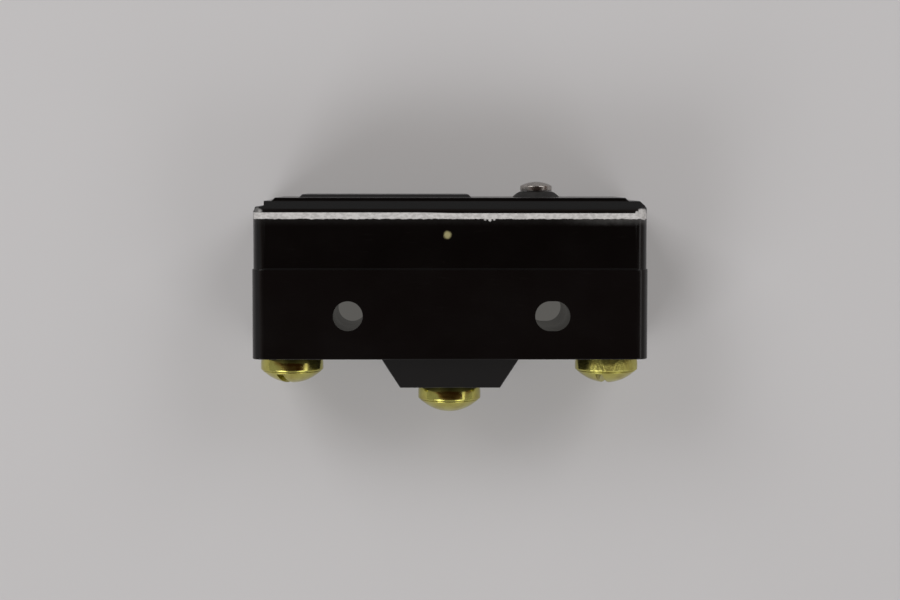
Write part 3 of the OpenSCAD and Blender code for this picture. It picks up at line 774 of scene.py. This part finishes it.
class SWITCH_OT_boot(Operator):
    """Rubber boot: a dome that folds under the button, on a collar held in the cover"""

    bl_idname = "switch.boot"
    bl_label = "Boot"

    def execute(self, context):
        sizes = context.scene.switch_sizes
        rubber = moulded_rubber(context.scene.switch_colours)
        low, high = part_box("boot_seal")
        axis = centre_of("boot_seal")
        rise, wall = sizes.boot_rise, sizes.boot_wall
        base, top = sizes.boot_base / 2, sizes.boot_top / 2
        plateau = high.y - rise
        # Gap round the stem, tuck at the foot of the dome, and the two sides of its rounded top edge
        gap, fold, lip, flare = 0.03 * MM, 0.12 * MM, 0.05 * MM, 0.03 * MM
        bore = sizes.stem_diameter / 2 + gap
        # The shoulder is half way between a cone and a quarter round
        steps = 14
        bends = [math.radians(90 * i / steps) for i in range(steps + 1)]
        outer = [
            (top + (base - top) * (math.cos(a) + 1 - math.sin(a)) / 2, rise * math.sin(a))
            for a in bends
        ]
        inner = ball_band(base - wall, bore, rise - wall, 8)
        rings = (
            [(base - fold, -fold)]
            + outer[:-1]
            + [(top + flare, rise - lip), (top - lip, rise), (bore, rise)]
            + inner[::-1]
            + [(base - wall, -fold), (base - fold, -fold)]
        )
        centre = (axis.x, plateau, axis.z)
        shell = turn_at("boot_dome", rings, sizes.turn_steps, centre, closed=True)
        flange = (high.x - low.x) / 2
        seat = plateau - sizes.boot_seat
        rings = [
            (base - wall, low.y),
            (flange, low.y),
            (flange, seat),
            (base, seat),
            (base, plateau - 2 * fold),
            (base - fold, plateau - fold),
            (base - wall, plateau - fold),
            (base - wall, low.y),
        ]
        centre = (axis.x, 0, axis.z)
        collar = turn_at("boot_collar", rings, sizes.turn_steps, centre, closed=True)
        for piece in (shell, collar):
            smooth(piece)
            finish(piece, rubber)
            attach(piece, "housing")
        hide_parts("boot_seal")
        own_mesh(shell)
        return {"FINISHED"}


class SWITCH_OT_plunger(Operator):
    """Plunger pin: a turned stem with a domed button"""

    bl_idname = "switch.plunger"
    bl_label = "Plunger"

    def execute(self, context):
        colours, sizes = context.scene.switch_colours, context.scene.switch_sizes
        low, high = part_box("plunger_pin")
        axis = centre_of("plunger_pin")
        radius, edge = (high.x - low.x) / 2, sizes.button_edge
        under = high.y - sizes.button_height
        # The crown is part of a ball that runs smoothly into the rounding above the upright side
        wall = sizes.button_wall
        reach, rise = radius - edge, sizes.button_height - wall
        ball = (reach**2 + rise**2 - edge**2) / (2 * (rise - edge))
        lean = math.degrees(math.asin(reach / (ball - edge)))
        tip = math.degrees(math.asin(TIP / ball))
        foot, chamfer = 0.08 * MM, 0.15 * MM
        stem = sizes.stem_diameter / 2
        rings = (
            [(stem - chamfer, low.y), (stem, low.y + chamfer), (stem, under)]
            + arc((radius - foot, under + foot), foot, -90, 0, 5)
            + arc((reach, under + wall), edge, 0, 90 - lean, 10)
            + arc((0, high.y - ball), ball, 90 - lean, 90 - tip, 14)[1:]
        )
        pin = turn_at("plunger_button", rings, sizes.turn_steps, (axis.x, 0, axis.z))
        smooth(pin)
        steel = turned_metal(
            "Turned stainless steel",
            colours.steel,
            colours.haze,
            roughness=0.24,
            ring=0.12,
            relief_depth=0.01,
        )
        finish(pin, steel)
        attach(pin, "plunger")
        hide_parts("plunger_pin")
        return {"FINISHED"}


class SWITCH_OT_terminals(Operator):
    """Terminals: three slotted screws with real threads, each under its drawn cup"""

    bl_idname = "switch.terminals"
    bl_label = "Terminals"

    # Turn of each slot in degrees, guessed from the notch in the outline of its dome
    slot_turns = {"nc": 66, "no": 8, "com": 69}
    # Where along X the polish of the common terminal's cup gives way to scratches
    wear = (17.4 * MM, 18.3 * MM)

    def screw_head(self, sizes, radius, shank_top):
        """Domed head on a plain shank, rim up at zero, with its slot along X."""
        rim, rounding = sizes.head_rim, 0.05 * MM
        core = sizes.thread_diameter / 2 - sizes.thread_depth
        crown = [(r, -rim - h) for r, h in dome(radius - rounding, sizes.head_dome, TIP, 18)]
        rings = crown[:-1] + [
            (radius - rounding / 2, -rim),
            (radius, -rim + rounding),
            (radius, -rounding),
            (radius - rounding, 0),
            (core, 0),
            (core, shank_top),
        ]
        head = turn("screw_pattern", rings, sizes.turn_steps)
        # The slot's cutter reaches past the rim at both ends
        top = Vector((0, -rim - sizes.head_dome, 0))
        half = Vector((1.5 * radius, sizes.slot_depth, sizes.slot_width / 2))
        cut(head, "DIFFERENCE", block(top - half, top + half))
        nothing = BVHTree.FromPolygons([], [])
        round_open_edges(head, nothing, sizes.slot_softness, sharp=50)
        return head

    def thread(self, sizes, shank_top):
        """Right-hand thread from under the head to the tip, wound by a screw modifier."""
        pitch, crest = sizes.thread_pitch, sizes.thread_diameter / 2
        # The ridge's foot is sunk a little into the core, and leaves a narrow root between turns
        sunk, share = 0.05 * MM, 0.92
        # Pitches before the first turn, and plain pitches in all
        lead, plain = 0.7, 1.4
        # A three-sided circle of radius 1 is 1.5 deep, and its side is the root of 3
        depth = (sizes.thread_depth + sunk) / 1.5
        deselect()
        bpy.ops.mesh.primitive_circle_add(vertices=3, radius=1, rotation=(0, 0, -math.pi / 2))
        coil = name_new("thread_pattern")
        edit(coil)
        bpy.ops.transform.resize(
            value=(depth, share * pitch / math.sqrt(3), 1), center_override=(0, 0, 0)
        )
        bpy.ops.transform.translate(value=(crest - depth, lead * pitch, 0))
        close_edit()
        apply_modifier(
            coil,
            "SCREW",
            axis="Y",
            screw_offset=pitch,
            iterations=int(shank_top / pitch - plain),
            steps=sizes.turn_steps // 2,
            render_steps=sizes.turn_steps // 2,
            use_merge_vertices=False,
        )
        edit(coil)
        seal(3)
        return coil

    def cup(self, sizes):
        """Drawn cup washer, its floor under the screw head at zero and its rim at the case."""
        low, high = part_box("nc_washer")
        radius, height = (high.x - low.x) / 2, high.y - low.y
        gauge, hole, lip = sizes.washer_gauge, sizes.washer_hole / 2, 0.06 * MM
        corner, straight, taper = sizes.washer_corner, sizes.washer_straight, sizes.washer_taper
        inner = radius - gauge - taper
        # The upper side is an arc that draws in by the taper, and stops short of the rim's lip
        rise, stop = height - straight, 0.94
        bend = (rise**2 + taper**2) / (2 * taper)
        lean = math.degrees(math.asin(rise / bend))
        rings = (
            [(hole + lip, 0)]
            + arc((radius - corner, corner), corner, -90, 0, 10)
            + arc((radius - bend, straight), bend, 0, lean * stop, 12)
            + [(radius - taper - lip, height), (inner + lip / 2, height), (inner, height - lip)]
            + arc((inner - lip * 2, gauge + lip * 2), lip * 2, 0, -90, 5)
            + [(hole + lip, gauge), (hole, gauge - lip), (hole, lip), (hole + lip, 0)]
        )
        return turn("cup_pattern", rings, sizes.turn_steps, closed=True)

    def execute(self, context):
        colours, sizes = context.scene.switch_colours, context.scene.switch_sizes
        look = {
            "base": colours.bright_brass,
            "film": colours.tarnish,
            "roughness": 0.16,
            "ring": 0.15,
            "relief_depth": 0.012,
            "dent_depth": 0.05,
        }
        brass = turned_metal("Bright turned brass", **look)
        dull_brass = turned_metal("Dulled turned brass", wear=self.wear, **look)
        low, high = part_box("nc_screw")
        rim_top = sizes.head_rim + sizes.head_dome
        shank_top = high.y - low.y - rim_top
        screw = self.screw_head(sizes, (high.x - low.x) / 2, shank_top)
        cut(screw, "UNION", self.thread(sizes, shank_top))
        smooth(screw)
        cup = self.cup(sizes)
        smooth(cup)
        for terminal in TERMINALS:
            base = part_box(f"{terminal}_screw")[0]
            axis = centre_of(f"{terminal}_screw")
            spin = Matrix.Rotation(math.radians(self.slot_turns[terminal]), 4, "Y")
            seat = Matrix.Translation((axis.x, base.y + rim_top, axis.z))
            head = place(screw, f"{terminal}_terminal_screw", seat @ spin)
            cup_seat = Matrix.Translation((axis.x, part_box(f"{terminal}_washer")[0].y, axis.z))
            washer = place(cup, f"{terminal}_cup_washer", cup_seat)
            for piece, body, node in (
                (head, f"{terminal}_fastener", f"{terminal}_screw"),
                (washer, f"{terminal}_cup", f"{terminal}_washer"),
            ):
                worn = terminal == "com" and piece is washer
                finish(piece, dull_brass if worn else brass)
                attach(piece, body)
                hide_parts(node)
        discard(screw)
        discard(cup)
        return {"FINISHED"}


class SWITCH_OT_inside(Operator):
    """Inside: finishes of the solids that keep their shape, and the blade cut into three lengths"""

    bl_idname = "switch.inside"
    bl_label = "Inside"

    def execute(self, context):
        colours = context.scene.switch_colours
        brass = rolled_strip("Rolled brass strip", colours.plain_brass, colours.tarnish, 0.32)
        # Name, base, film, roughness, and spacing and depth of the tool rings in millimetres
        rod, silver, zinc = [
            turned_metal(*look)
            for look in (
                ("Turned plain brass", colours.plain_brass, colours.tarnish, 0.32, 0.15, 0.01),
                ("Contact silver", colours.silver, colours.haze, 0.28, 0.2, 0.008),
                ("Zinc-plated steel", colours.zinc, colours.haze, 0.34, 0.2, 0.01),
            )
        ]
        groups = {
            brass: ("com_anchor", "no_strap", "nc_bracket", "blade_clamp"),
            rod: ("nc_insert", "no_insert", "com_insert", "guide_bush", "clamp_rivets"),
            silver: ("moving_contact", "no_contact", "nc_contact"),
            zinc: ("cover_screws",),
            brown_moulding(colours): ("plunger_foot",),
        }
        for material, names in groups.items():
            for name in names:
                finish(NODES[name], material)
        self.blade(rolled_strip("Spring copper strip", colours.copper, colours.tarnish, 0.3))
        return {"FINISHED"}

    def blade(self, material):
        """Snap blade in three lengths, each cut out and sliced across at even steps: the root, the
        middle leaf of the span, and the tip with its side leaves."""
        pivot = Vector(JOINTS["contact_snap"]["pos_m"])
        low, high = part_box("snap_blade")
        foot, groove = centre_of("plunger_foot").x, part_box("com_anchor")[0].x
        # The press dies away along the reach; at the join it has the place and slope of the tip
        reach, join = 40.6 * MM, foot - 15.72 * MM
        # Half-widths of the cuts: the middle leaf up to the slits beside it, and the whole blade
        leaf, whole = 1.45 * MM, 4 * MM
        spare = MM
        end = high.x + spare
        root_cuts = [("INTERSECT", foot, end, whole)]
        span_cuts = [("INTERSECT", join, foot, leaf)]
        tip_cuts = [("DIFFERENCE", join, end, leaf), ("DIFFERENCE", foot, end, whole)]
        for name, first, second, start, stop, cuts in (
            ("snap_root", "housing", "plunger", pivot.x, foot, root_cuts),
            ("snap_span", "plunger", "housing", foot, foot - reach, span_cuts),
            ("snap_tip", "housing", "contact_arm", groove, join, tip_cuts),
        ):
            strip = merged_copy("snap_blade", name)
            for operation, left, right, half in cuts:
                corner = Vector((left, low.y - spare, pivot.z - half))
                cut(strip, operation, block(corner, (right, high.y + spare, pivot.z + half)))
            edit(strip)
            for i in range(int((high.x - low.x) / BEND_STEP)):
                bpy.ops.mesh.select_all(action="SELECT")
                bpy.ops.mesh.bisect(
                    plane_co=(low.x + i * BEND_STEP, 0, 0), plane_no=(1, 0, 0), threshold=WELD
                )
            close_edit()
            smooth(strip)
            finish(strip, material)
            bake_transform(strip)
            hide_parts("snap_blade")


class SWITCH_OT_stage(Operator):
    """Pale floor, a soft light tent with four softboxes and a strip, and the camera above"""

    bl_idname = "switch.stage"
    bl_label = "Stage"

    # Sizes and places of the floor and the lamps, in metres
    floor_side = 4
    floor_drop = 0.02 * MM
    softbox_side = 0.32
    softbox_place = (0.36, 0.38, 0.42)
    strip_size = (0.4, 0.1)
    strip_place = (0.44, 0.02, 0.33)
    # The tent's opening is an oval with a soft edge, longer along the switch
    oval_shift = (-0.12, -0.48, 0)
    oval_stretch = (1.1, 1.74, 0)
    oval_edge = (0.8, 1.2)

    def floor(self, context):
        """Wide pale sheet, with a painted glow that lifts its shade under the switch."""
        stage, colours = context.scene.switch_stage, context.scene.switch_colours
        deselect()
        bpy.ops.mesh.primitive_plane_add(size=self.floor_side, location=(0, 0, -self.floor_drop))
        sheet = name_new("floor_sheet")
        material, tree, shader, coordinates = new_material("Pale matt sheet")
        # Faint clouds in the sheet, about 60 mm across
        shade = [c * 0.94 for c in colours.floor]
        tone = blotched(tree, coordinates, shade, colours.floor, 60, 2, clear=0, full=1, most=1)[1]
        feed(shader, {"Base Color": tone, "Roughness": 0.9, "Specular IOR Level": 0.1})
        # Painted light: the sheet glows for camera, glossy and transmission rays, so its shade under
        # the switch and its reflections stay light
        rays = add_node(tree, "LightPath").node.outputs
        seen = rays["Is Camera Ray"]
        for kind in ("Is Glossy Ray", "Is Transmission Ray"):
            seen = add_node(tree, "Math", (seen, rays[kind]), operation="MAXIMUM")
        glow = add_node(tree, "Math", (seen, stage.floor_glow), operation="MULTIPLY")
        feed(shader, {"Emission Color": rgba(colours.glow), "Emission Strength": glow})
        finish(sheet, material)

    def tent(self, context):
        """Soft light from all round, dim and warm in the opening that the camera looks through."""
        stage, colours = context.scene.switch_stage, context.scene.switch_colours
        world = bpy.data.worlds.new("Light tent")
        context.scene.world = world
        world.use_nodes = True
        tree = world.node_tree
        direction = add_node(tree, "TexCoord").node.outputs["Generated"]
        oval = add_node(
            tree,
            "Mapping",
            {"Vector": direction, "Location": self.oval_shift, "Scale": self.oval_stretch},
        )
        away = add_node(tree, "VectorMath", (oval,), operation="LENGTH")
        level, paleness = [
            add_node(
                tree, "MapRange", (away, *self.oval_edge, *ends), interpolation_type="SMOOTHSTEP"
            )
            for ends in ((stage.opening, stage.tent), (0, 1))
        ]
        tone = add_node(
            tree,
            "Mix",
            {"Factor": paleness, "A": rgba(colours.opening), "B": (1, 1, 1, 1)},
            data_type="RGBA",
        )
        feed(tree.nodes["Background"], {"Strength": level, "Color": tone})

    def softbox(self, context, name, spot, width, height, level):
        """Softbox that faces the switch, its width along the floor."""
        lamp = bpy.data.lights.new(name, "AREA")
        lamp.shape = "RECTANGLE"
        lamp.size, lamp.size_y = width, height
        lamp.energy = level * math.pi * width * height
        holder = bpy.data.objects.new(name, lamp)
        holder.location = spot
        holder.rotation_euler = Vector(spot).to_track_quat("Z", "Y").to_euler()
        context.scene.collection.objects.link(holder)

    def execute(self, context):
        stage = context.scene.switch_stage
        self.floor(context)
        self.tent(context)
        aside, behind, above = self.softbox_place
        size = self.softbox_side
        for side, name, level, share in (
            (-1, "left", stage.left_softboxes, stage.left_front),
            (1, "right", stage.right_softboxes, stage.right_front),
        ):
            back, front = (side * aside, behind, above), (side * aside, -behind, above)
            self.softbox(context, f"back_{name}", back, size, size, level)
            self.softbox(context, f"front_{name}", front, size, size, level * share)
        self.softbox(context, "strip", self.strip_place, *self.strip_size, stage.strip)
        camera = bpy.data.cameras.new("camera")
        camera.sensor_width = 36
        camera.lens = stage.lens
        camera.clip_start = 1 * MM
        holder = bpy.data.objects.new("camera", camera)
        holder.location = stage.camera_place
        holder.rotation_euler = stage.camera_turn
        context.scene.collection.objects.link(holder)
        context.scene.camera = holder
        context.scene.view_settings.view_transform = "Standard"
        return {"FINISHED"}


STEPS = (
    SWITCH_OT_housing,
    SWITCH_OT_boot,
    SWITCH_OT_plunger,
    SWITCH_OT_terminals,
    SWITCH_OT_inside,
    SWITCH_OT_stage,
)


class SWITCH_PT_panel(Panel):
    """Steps and settings of the switch"""

    bl_idname = "SWITCH_PT_panel"
    bl_label = "Snap-action switch"
    bl_space_type = "VIEW_3D"
    bl_region_type = "UI"
    bl_category = "Switch"

    def draw(self, context):
        for step in STEPS:
            self.layout.operator(step.bl_idname)
        for group in GROUPS:
            settings = getattr(context.scene, group)
            box = self.layout.box()
            for name in settings.__annotations__:
                box.prop(settings, name)


GROUPS = {
    "switch_colours": SwitchColours,
    "switch_sizes": SwitchSizes,
    "switch_stage": SwitchStage,
}
CLASSES = (*GROUPS.values(), *STEPS, SWITCH_PT_panel)


def register():
    for cls in CLASSES:
        bpy.utils.register_class(cls)
    for name, group in GROUPS.items():
        setattr(bpy.types.Scene, name, PointerProperty(type=group))


def unregister():
    for name in GROUPS:
        delattr(bpy.types.Scene, name)
    for cls in reversed(CLASSES):
        bpy.utils.unregister_class(cls)


def main():
    """Models the switch step by step."""
    register()
    bpy.ops.switch.housing()
    bpy.ops.switch.boot()
    bpy.ops.switch.plunger()
    bpy.ops.switch.terminals()
    bpy.ops.switch.inside()
    bpy.ops.switch.stage()


if __name__ == "__main__":
    main()
